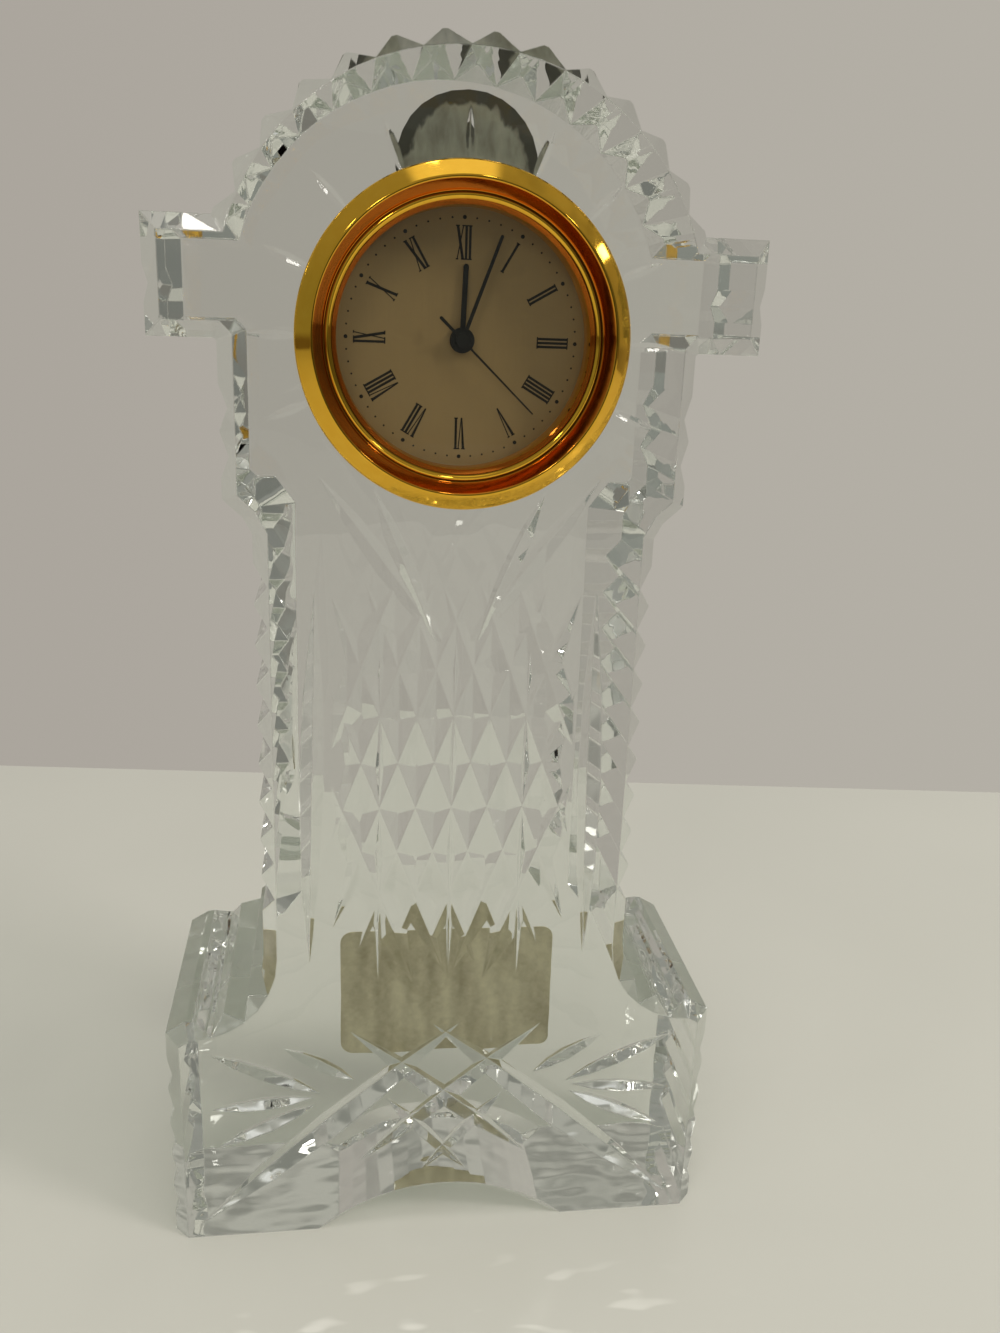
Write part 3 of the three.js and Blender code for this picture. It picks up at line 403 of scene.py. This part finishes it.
BRUSH_GRAIN = (0.12 * MM, 0.12 * MM, 7 * MM)
CHAMPAGNE_DARK = (0.285, 0.194, 0.079)
CHAMPAGNE_LIGHT = (0.355, 0.247, 0.101)
INK_COLOUR = (0.008, 0.007, 0.005)
INK_CLOUD = 0.4 * MM
PRINT_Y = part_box("dial")[0][1]
PRINT_THICK = 0.02 * MM
FIGURE_MIDDLE = 12.1 * MM
DOT_RING = 15.15 * MM
DOT_RADIUS = 0.13 * MM
HOUR_DOT_SWELL = 2.0
HOURS = ["I", "II", "III", "IIII", "V", "VI", "VII", "VIII", "IX", "X", "XI", "XII"]

# Millimetres: half a figure's height, each letter's room on the line, and the strokes' widths.
FIGURE_HALF = 2.1
ADVANCE = {"I": 0.5, "V": 0.95, "X": 1.05}
STEM, THICK, THIN = 0.32, 0.36, 0.14
SERIF_LONG, SERIF_SHORT, SERIF_THICK = 0.5, 0.34, 0.16

champagne = Finish("champagne dial", CHAMPAGNE_DARK, 0.42, metal=0.35)
brushed = champagne.noise(BRUSH_GRAIN, rough=0.7)
champagne.feed(Base_Color=champagne.mix(brushed, CHAMPAGNE_DARK, CHAMPAGNE_LIGHT))
champagne.grain(brushed, rough=(0.32, 0.52), relief=0.003 * MM)
champagne.coat(nodes["dial"])


def four_cornered(corners):
    """A plane set to four corners in metres: low left, low right, top left and top right."""
    bpy.ops.object.select_all(action="DESELECT")
    bpy.ops.mesh.primitive_plane_add(size=MM)
    piece = bpy.context.object
    for vertex, corner in zip(piece.data.vertices, corners):
        vertex.co = corner
    return piece


def stroke(low, foot, foot_width, top, head, head_width):
    """A printed stroke with level ends at two heights, in millimetres from the figure's middle."""
    ends = ((low, foot, foot_width / 2), (top, head, head_width / 2))
    return four_cornered([((middle + side * half) * MM, 0, level * MM)
                          for level, middle, half in ends for side in (-1, 1)])


def leg(foot, foot_width, head, head_width):
    """A stroke from the foot of the letter to its head."""
    return stroke(-FIGURE_HALF, foot, foot_width, FIGURE_HALF, head, head_width)


def serif(middle, width, at_head=False):
    """The thin bar across the end of a leg."""
    low = FIGURE_HALF - SERIF_THICK if at_head else -FIGURE_HALF
    return stroke(low, middle, width, low + SERIF_THICK, middle, width)


def joined(pieces, name):
    """Several pieces made into one."""
    only(pieces[0])
    for piece in pieces:
        piece.select_set(True)
    bpy.ops.object.join()
    pieces[0].name = pieces[0].data.name = name
    return pieces[0]


letters = {
    "I": joined([leg(0, STEM, 0, STEM), serif(0, SERIF_LONG, at_head=True), serif(0, SERIF_LONG)],
                "letter_i"),
    "V": joined([leg(-0.03, 0.16, -0.31, THICK), leg(0.03, 0.12, 0.36, THIN),
                 serif(-0.31, SERIF_LONG, at_head=True), serif(0.36, SERIF_SHORT, at_head=True)],
                "letter_v"),
    "X": joined([leg(0.37, THICK, -0.37, THICK), leg(-0.38, THIN, 0.38, THIN),
                 serif(-0.37, SERIF_LONG, at_head=True), serif(0.38, SERIF_SHORT, at_head=True),
                 serif(0.37, SERIF_LONG), serif(-0.38, SERIF_SHORT)],
                "letter_x"),
}

bpy.ops.object.select_all(action="DESELECT")
facing_out = (math.pi / 2, 0, 0)
bpy.ops.mesh.primitive_circle_add(vertices=12, radius=DOT_RADIUS, fill_type="NGON", rotation=facing_out)
dot = bpy.context.object
bpy.ops.object.transform_apply(location=True, rotation=True, scale=True)


def printed_copy(source, degrees, radius, placing):
    """A copy with its own mesh, set on the dial at an angle and a radius."""
    turn = Matrix.Rotation(math.radians(degrees), 4, "Y") @ Matrix.Translation((0, 0, radius))
    piece = source.copy()
    piece.data = source.data.copy()
    piece.data.transform(Matrix.Translation((0, PRINT_Y, DIAL_Z)) @ turn @ placing)
    bpy.context.scene.collection.objects.link(piece)
    return piece


marks = []
for hour, figure in enumerate(HOURS, start=1):
    across = -sum(ADVANCE[letter] for letter in figure) / 2
    for letter in figure:
        on_line = Matrix.Translation(((across + ADVANCE[letter] / 2) * MM, 0, 0))
        marks.append(printed_copy(letters[letter], 30 * hour, FIGURE_MIDDLE, on_line))
        across += ADVANCE[letter]
for minute in range(60):
    swell = HOUR_DOT_SWELL if minute % 5 == 0 else 1.0
    marks.append(printed_copy(dot, 6 * minute, DOT_RING, Matrix.Diagonal((swell, 1, swell, 1))))
for source in (*letters.values(), dot):
    bpy.data.objects.remove(source)

dial_print = joined(marks, "dial_print")
thickness = dial_print.modifiers.new("ink", "SOLIDIFY")
thickness.thickness = PRINT_THICK
thickness.offset = 1
only(dial_print)
bpy.ops.object.modifier_apply(modifier="ink")

ink = Finish("black ink", INK_COLOUR, 0.5, Specular_IOR_Level=0.15)
ink.feed(Roughness=ink.noise(INK_CLOUD).between(0.4, 0.6))
ink.coat(dial_print)
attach(dial_print, "insert")


# Hands: stamped brass strip, satin black, each on a turned hub that is pressed on its pipe. They
# are batons with round ends. The second hand has a closed cap and a blunt tail.

MINUTE_ANGLE = 20.2
SECOND_ANGLE = 133.6
BLADE_EASE = 0.03 * MM
HUB_STEPS = 48
HAND_COLOUR = (0.008, 0.008, 0.006)
HAND_CLOUD = 0.5 * MM

# Millimetres: each blade's start, end and two widths, the blades' near and far depth, and the
# hub's section as for the rings. The angle at rest is in degrees clockwise from twelve.
HANDS = {
    "hour_hand": {
        "angle": MINUTE_ANGLE / 12, "depths": (3.55, 3.75), "blades": [(1.2, 9.5, 0.72, 0.70)],
        "hub": [(1.64, 3.58), (1.61, 3.55), (1.13, 3.55), (1.13, 3.75), (1.64, 3.75)]},
    "minute_hand": {
        "angle": MINUTE_ANGLE, "depths": (3.0, 3.2), "blades": [(0.9, 14.0, 0.52, 0.42)],
        "hub": [(1.55, 3.03), (1.52, 3.0), (0.83, 3.0), (0.83, 3.2), (1.55, 3.2)]},
    "second_hand": {
        "angle": SECOND_ANGLE, "depths": (2.45, 2.59),
        "blades": [(0.4, 13.3, 0.30, 0.20), (0.4, -4.2, 0.36, 0.44)],
        "hub": [(0, 2.35), (0.62, 2.37), (0.88, 2.43), (0.95, 2.5), (0.95, 2.75), (0.33, 2.75),
                (0.33, 2.47), (0, 2.47)]},
}

black = Finish("satin black", HAND_COLOUR, 0.34, Specular_IOR_Level=0.2)
black.grain(black.noise(HAND_CLOUD), rough=(0.26, 0.46), relief=0.004 * MM)


def blade(start, end, root, tip, near, far):
    """A strip with round ends from start to end along the hand, in millimetres."""
    way = 1 if end > start else -1
    bpy.ops.object.select_all(action="DESELECT")
    bpy.ops.mesh.primitive_circle_add(vertices=24, radius=MM, fill_type="NGON")
    piece = bpy.context.object
    for vertex in piece.data.vertices:
        wide, along = vertex.co.x / MM / 2, vertex.co.y / MM / 2
        if along * way >= 0:
            vertex.co = (wide * tip * MM, 0, (end - way * tip / 2 + along * tip) * MM)
        else:
            vertex.co = (wide * root * MM, 0, (start + way * root / 2 + along * root) * MM)
    piece.data.transform(Matrix.Translation((0, near * MM, 0)))
    bpy.ops.object.mode_set(mode="EDIT")
    bpy.ops.mesh.select_all(action="SELECT")
    bpy.ops.mesh.extrude_region_move(TRANSFORM_OT_translate={"value": (0, (far - near) * MM, 0)})
    bpy.ops.mesh.select_all(action="SELECT")
    bpy.ops.mesh.normals_make_consistent(inside=False)
    bpy.ops.object.mode_set(mode="OBJECT")
    ease = piece.modifiers.new("ease", "BEVEL")
    ease.width = BLADE_EASE
    ease.segments = 1
    only(piece)
    bpy.ops.object.modifier_apply(modifier="ease")
    return piece


for node, hand in HANDS.items():
    blades = [blade(*sizes, *hand["depths"]) for sizes in hand["blades"]]
    turn = Matrix.Translation((0, FRONT_Y, DIAL_Z)) @ Matrix.Rotation(math.radians(hand["angle"]), 4, "Y")
    for strip in blades:
        strip.data.transform(turn)
    hub = turned("hub", hand["hub"], HUB_STEPS)
    piece = black.coat(joined([hub, *blades], "black_" + node))
    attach(piece, node.removesuffix("_hand"))
    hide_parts(node)


# Case wall, back, grip ring and movement: drawn steel, brass plates and wheels, moulded plastic,
# a wound coil, a green circuit board and a black resin cap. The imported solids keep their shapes,
# and each takes the finish of its material slot.

STEEL_COLOUR = (0.56, 0.56, 0.57)
STEEL_GRAIN = (0.25 * MM, 0.25 * MM, 4 * MM)
BRASS_DULL = (0.56, 0.38, 0.13)
BRASS_BRIGHT = (0.70, 0.51, 0.22)
BRASS_GRAIN = (2.5 * MM, 0.3 * MM, 0.3 * MM)
PLASTIC_DARK = (0.70, 0.68, 0.60)
PLASTIC_LIGHT = (0.78, 0.76, 0.70)
PLASTIC_CLOUD = 0.35 * MM
GRIP_COLOUR = (0.80, 0.82, 0.78)
GRIP_INDEX = 1.48
GRIP_SHADE = (0.8, 0.82, 0.8)
GRIP_CLOUD = 0.6 * MM
COPPER_DARK = (0.42, 0.13, 0.04)
COPPER_LIGHT = (0.72, 0.28, 0.10)
STRAND_PITCH = 0.16 * MM
STRAND_HEIGHT = 0.03 * MM
BOARD_DARK = (0.015, 0.10, 0.04)
BOARD_LIGHT = (0.03, 0.16, 0.07)
BOARD_WEAVE = (0.3 * MM, 0.3 * MM, 1.4 * MM)
BOARD_HEIGHT = 0.01 * MM
RESIN_COLOUR = (0.012, 0.012, 0.012)
RESIN_CLOUD = 0.5 * MM

steel = Finish("bright steel", STEEL_COLOUR, 0.3, metal=1.0)
steel.grain(steel.noise(STEEL_GRAIN), rough=(0.2, 0.42), relief=0.003 * MM)

brass = Finish("movement brass", BRASS_DULL, 0.3, metal=1.0)
brass_grain = brass.noise(BRASS_GRAIN)
brass.feed(Base_Color=brass.mix(brass_grain, BRASS_DULL, BRASS_BRIGHT))
brass.grain(brass_grain, rough=(0.22, 0.42), relief=0.004 * MM)

plastic = Finish("natural plastic", PLASTIC_DARK, 0.45)
plastic_cloud = plastic.noise(PLASTIC_CLOUD, detail=2.0)
plastic.feed(Base_Color=plastic.mix(plastic_cloud, PLASTIC_DARK, PLASTIC_LIGHT))
plastic.grain(plastic_cloud, rough=(0.36, 0.56), relief=0.01 * MM)

grip = Finish("clear grip", GRIP_COLOUR, 0.25, IOR=GRIP_INDEX, Transmission_Weight=0.3)
grip.grain(grip.noise(GRIP_CLOUD), rough=(0.18, 0.38), relief=0.02 * MM)
grip.let_lamps_through(GRIP_SHADE)

copper = Finish("copper wire", COPPER_DARK, 0.28, metal=1.0)
strand = copper.math("SINE", copper.part(copper.spot(), 0) * (2 * math.pi / STRAND_PITCH))
copper.feed(Base_Color=copper.mix(strand * 0.5 + 0.5, COPPER_DARK, COPPER_LIGHT))
copper.feed(Normal=copper.bump(strand, STRAND_HEIGHT))

board = Finish("green board", BOARD_DARK, 0.4)
weave = board.noise(BOARD_WEAVE)
board.feed(Base_Color=board.mix(weave, BOARD_DARK, BOARD_LIGHT))
board.feed(Normal=board.bump(weave, BOARD_HEIGHT))

resin = Finish("black resin", RESIN_COLOUR, 0.3)
resin.feed(Roughness=resin.noise(RESIN_CLOUD).between(0.2, 0.45))

by_slot = {"steel": steel, "brass": brass, "white_plastic": plastic, "clear_rubber": grip,
           "copper": copper, "board": board, "epoxy": resin}
for entry in frame["record"]["subparts"]:
    node, slot = nodes[entry["node"]], entry["material_slot"]
    if slot in by_slot:
        by_slot[slot].coat(node)


# Table top: pale and slightly glossy, and it ends at the wall. Streaks of painted light in front
# of the base stand in for the light that the block throws there.

TABLE_CORNERS = [(-1.2, -1.1), (1.3, -1.1), (-1.2, 0.304), (1.3, 0.022)]
TABLE_TOP = -0.02 * MM
TABLE_DARK = (0.54, 0.534, 0.485)
TABLE_LIGHT = (0.60, 0.594, 0.545)
SMEAR_SIZE = 0.16
PAINTED_LIGHT_STREAK_SIZE = (11 * MM, 3.5 * MM, 1)
PAINTED_LIGHT_STREAK_BAND = (0.6, 0.72)
PAINTED_LIGHT_SHARE = 0.5
PAINTED_LIGHT_COLOUR = (0.88, 0.87, 0.82)
PAINTED_LIGHT_POOL_SHIFT = (0, 43 * MM, 0)
PAINTED_LIGHT_POOL_SHAPE = (1, 2.4, 1)
PAINTED_LIGHT_POOL_EDGE = (22 * MM, 50 * MM)

table = four_cornered([(x, y, TABLE_TOP) for x, y in TABLE_CORNERS])
table.name = "table_top"
tabletop = Finish("table top", TABLE_DARK, 0.2)
smear = tabletop.noise(SMEAR_SIZE)
# Painted light: pale streaks in a pool before the base, standing in for the light the block throws.
painted_light_streak = tabletop.fade(tabletop.noise(PAINTED_LIGHT_STREAK_SIZE, detail=1.0), *PAINTED_LIGHT_STREAK_BAND)
in_painted_light_pool = 1 - tabletop.fade(tabletop.length(tabletop.spot(PAINTED_LIGHT_POOL_SHIFT, PAINTED_LIGHT_POOL_SHAPE)), *PAINTED_LIGHT_POOL_EDGE)
plain = tabletop.mix(smear, TABLE_DARK, TABLE_LIGHT)
tabletop.feed(Base_Color=tabletop.mix(painted_light_streak * in_painted_light_pool * PAINTED_LIGHT_SHARE, plain, PAINTED_LIGHT_COLOUR))
tabletop.feed(Roughness=smear.between(0.12, 0.24))
tabletop.coat(table)


# Dark card: it stands behind the camera, where the photograph's room is dark, and the lens and the
# bezel mirror it. It is hidden from everything else.

CARD_LEFT, CARD_RIGHT = -0.09, 0.17
CARD_LOW, CARD_TOP = 0.03, 0.22
CARD_Y = -0.46
CARD_DARK = (0.02, 0.018, 0.016)
CARD_LIGHT = (0.04, 0.036, 0.032)
CARD_CLOUD = 0.03

card = four_cornered([(x, CARD_Y, z) for z in (CARD_LOW, CARD_TOP) for x in (CARD_LEFT, CARD_RIGHT)])
card.name = "dark_card"
cloth = Finish("dark card", CARD_DARK, 0.9)
cloth.feed(Base_Color=cloth.mix(cloth.noise(CARD_CLOUD), CARD_DARK, CARD_LIGHT))
cloth.coat(card)
card.visible_camera = card.visible_shadow = card.visible_diffuse = card.visible_transmission = False


# Room: the camera sees a plain wall. Metal and glass see that wall ahead, a mottled ceiling with a
# bright panel, and a darker room behind the camera. All other light is one plain grey.

WALL_LEFT = (0.405, 0.376, 0.335)
WALL_RIGHT = (0.455, 0.430, 0.380)
CEILING_DARK = (0.22, 0.22, 0.19)
CEILING_LIGHT = (0.44, 0.43, 0.375)
CEILING_PANEL = (0.95, 0.94, 0.90)
ROOM_LEFT = (0.235, 0.25, 0.22)
ROOM_RIGHT = (0.095, 0.10, 0.09)
ROOM_HIGH = (0.30, 0.30, 0.27)
ROOM_FLOOR = (0.12, 0.10, 0.08)
ROOM_THROUGH_GLASS = (0.27, 0.27, 0.24)
ROOM_LIGHT = (0.42, 0.415, 0.39)
MOTTLE_SCALE = 9.0
MOTTLE_BAND = (0.36, 0.62)
SOFTER_SHARE = 0.5

# Along one axis of the unit direction: where one thing in the room gives way to the next.
WALL_SPAN = (-0.4, 0.6)
ROOM_SPAN = (-0.35, 0.35)
CEILING_EDGE = (0.2, 0.75)
PANEL_EDGE = (0.95, 0.975)
BEHIND_EDGE = (-0.3, 0.1)
FLOOR_EDGE = (0.0, 0.06)
FLOOR_NEAR_EDGE = (-0.25, 0.0)
SOFTER_EDGE = (-0.1, 0.3)

world = bpy.data.worlds.new("room")
bpy.context.scene.world = world
world.use_nodes = True
room = Nodes(world.node_tree)
look = room.add("TexCoord", output="Generated")
sideways, onward, upwards = room.part(look, 0), room.part(look, 1), room.part(look, 2)
wall = room.mix(room.fade(sideways, *WALL_SPAN), WALL_LEFT, WALL_RIGHT)
high = room.fade(upwards, *CEILING_EDGE)
mottle = room.add("TexNoise", {"noise_dimensions": "3D"},
                  {"Vector": look, "Scale": MOTTLE_SCALE, "Detail": 0.5})
ceiling = room.mix(room.fade(mottle, *MOTTLE_BAND), CEILING_DARK, CEILING_LIGHT)
in_front = room.mix(high, wall, ceiling)
low = room.mix(room.fade(sideways, *ROOM_SPAN), ROOM_LEFT, ROOM_RIGHT)
behind = room.mix(high, low, ROOM_HIGH)
around = room.mix(room.fade(0 - onward, *BEHIND_EDGE), in_front, behind)
above = room.mix(room.fade(upwards, *PANEL_EDGE), around, CEILING_PANEL)
beyond_table = room.fade(0 - upwards, *FLOOR_EDGE) * room.fade(0 - onward, *FLOOR_NEAR_EDGE)
mirrored = room.mix(beyond_table, above, ROOM_FLOOR)

camera_ray = room.add("LightPath", output="Is Camera Ray")
glossy_ray = room.add("LightPath", output="Is Glossy Ray")
glass_ray = room.add("LightPath", output="Is Transmission Ray")
softer = room.mix(glass_ray * SOFTER_SHARE, mirrored, ROOM_THROUGH_GLASS)
through = room.mix(room.fade(onward, *SOFTER_EDGE), softer, mirrored)
seen = room.mix(camera_ray, through, wall)
watched = room.math("MINIMUM", camera_ray + glossy_ray + glass_ray, 1.0)
lit = room.mix(watched, ROOM_LIGHT, seen)
room.tree.links.new(lit.socket, room.tree.nodes["Background"].inputs["Color"])


# Lamps: three large soft panels that light the clock without showing in it, and small panels all
# round that glint in the cuts. Each points at the clock's middle line.

LAMP_COLOUR = (1, 0.97, 0.90)
SPARK_SPOTS = [(0.75, -0.55, 0.85), (-0.8, -0.35, 0.95), (0.3, 0.5, 1.1), (-0.35, -0.8, 0.75),
               (0.25, -0.6, 1.15), (-0.15, 0.05, 1.35), (1.0, 0.1, 0.7), (-1.05, 0.1, 0.55)]
SPARK_SIZE = (0.09, 0.09)
SPARK_WATTS = 0.32


def lamp(name, place, aim_height, size, watts, shows=False):
    """A soft panel. One that doesn't show lights the clock without being mirrored in it."""
    data = bpy.data.lights.new(name, "AREA")
    data.shape = "RECTANGLE"
    data.size, data.size_y = size
    data.energy = watts
    data.color = LAMP_COLOUR
    piece = bpy.data.objects.new(name, data)
    bpy.context.scene.collection.objects.link(piece)
    piece.location = place
    facing = Vector((0, 0, aim_height)) - Vector(place)
    piece.rotation_euler = facing.to_track_quat("-Z", "Y").to_euler()
    piece.visible_glossy = piece.visible_transmission = shows


lamp("ceiling light", (0.1, -0.25, 1.30), aim_height=0.05, size=(0.6, 0.4), watts=3.8)
lamp("window light", (1.05, -0.62, 0.95), aim_height=0.12, size=(0.3, 0.3), watts=8.5)
lamp("room light", (-0.6, -0.9, 1.0), aim_height=0.12, size=(0.5, 0.5), watts=2.5)
for number, spot in enumerate(SPARK_SPOTS, start=1):
    lamp("spark lamp %d" % number, spot, 0.1, SPARK_SIZE, SPARK_WATTS, shows=True)


# Camera, at the photograph's place: 153 mm before the block's front face, 144 mm above the table.
# Light that passes the facets many times needs more bounces than usual.

CAMERA_SPOT = (-15.774 * MM, -170.267 * MM, 144.228 * MM)
YAW, PITCH, ROLL = -0.1432, 0.3051, 0.0392
FOCAL_PIXELS, PICTURE_HEIGHT = 1150, 1333
SENSOR_HEIGHT = 24
CLIP_START = 10 * MM

ahead = Vector((-math.sin(YAW) * math.cos(PITCH), math.cos(YAW) * math.cos(PITCH), -math.sin(PITCH)))
level = Vector((math.cos(YAW), math.sin(YAW), 0))
upward = level.cross(ahead)
right = math.cos(ROLL) * level + math.sin(ROLL) * upward
up = math.cos(ROLL) * upward - math.sin(ROLL) * level
camera_data = bpy.data.cameras.new("camera")
camera_data.sensor_fit = "VERTICAL"
camera_data.sensor_height = SENSOR_HEIGHT
camera_data.lens = SENSOR_HEIGHT * FOCAL_PIXELS / PICTURE_HEIGHT
camera_data.clip_start = CLIP_START
camera = bpy.data.objects.new("camera", camera_data)
bpy.context.scene.collection.objects.link(camera)
camera.matrix_world = Matrix.Translation(CAMERA_SPOT) @ Matrix((right, up, -ahead)).transposed().to_4x4()
bpy.context.scene.camera = camera
bpy.context.scene.view_settings.view_transform = "Standard"
bpy.context.scene.cycles.max_bounces = 24
bpy.context.scene.cycles.glossy_bounces = 16
bpy.context.scene.cycles.transmission_bounces = 20
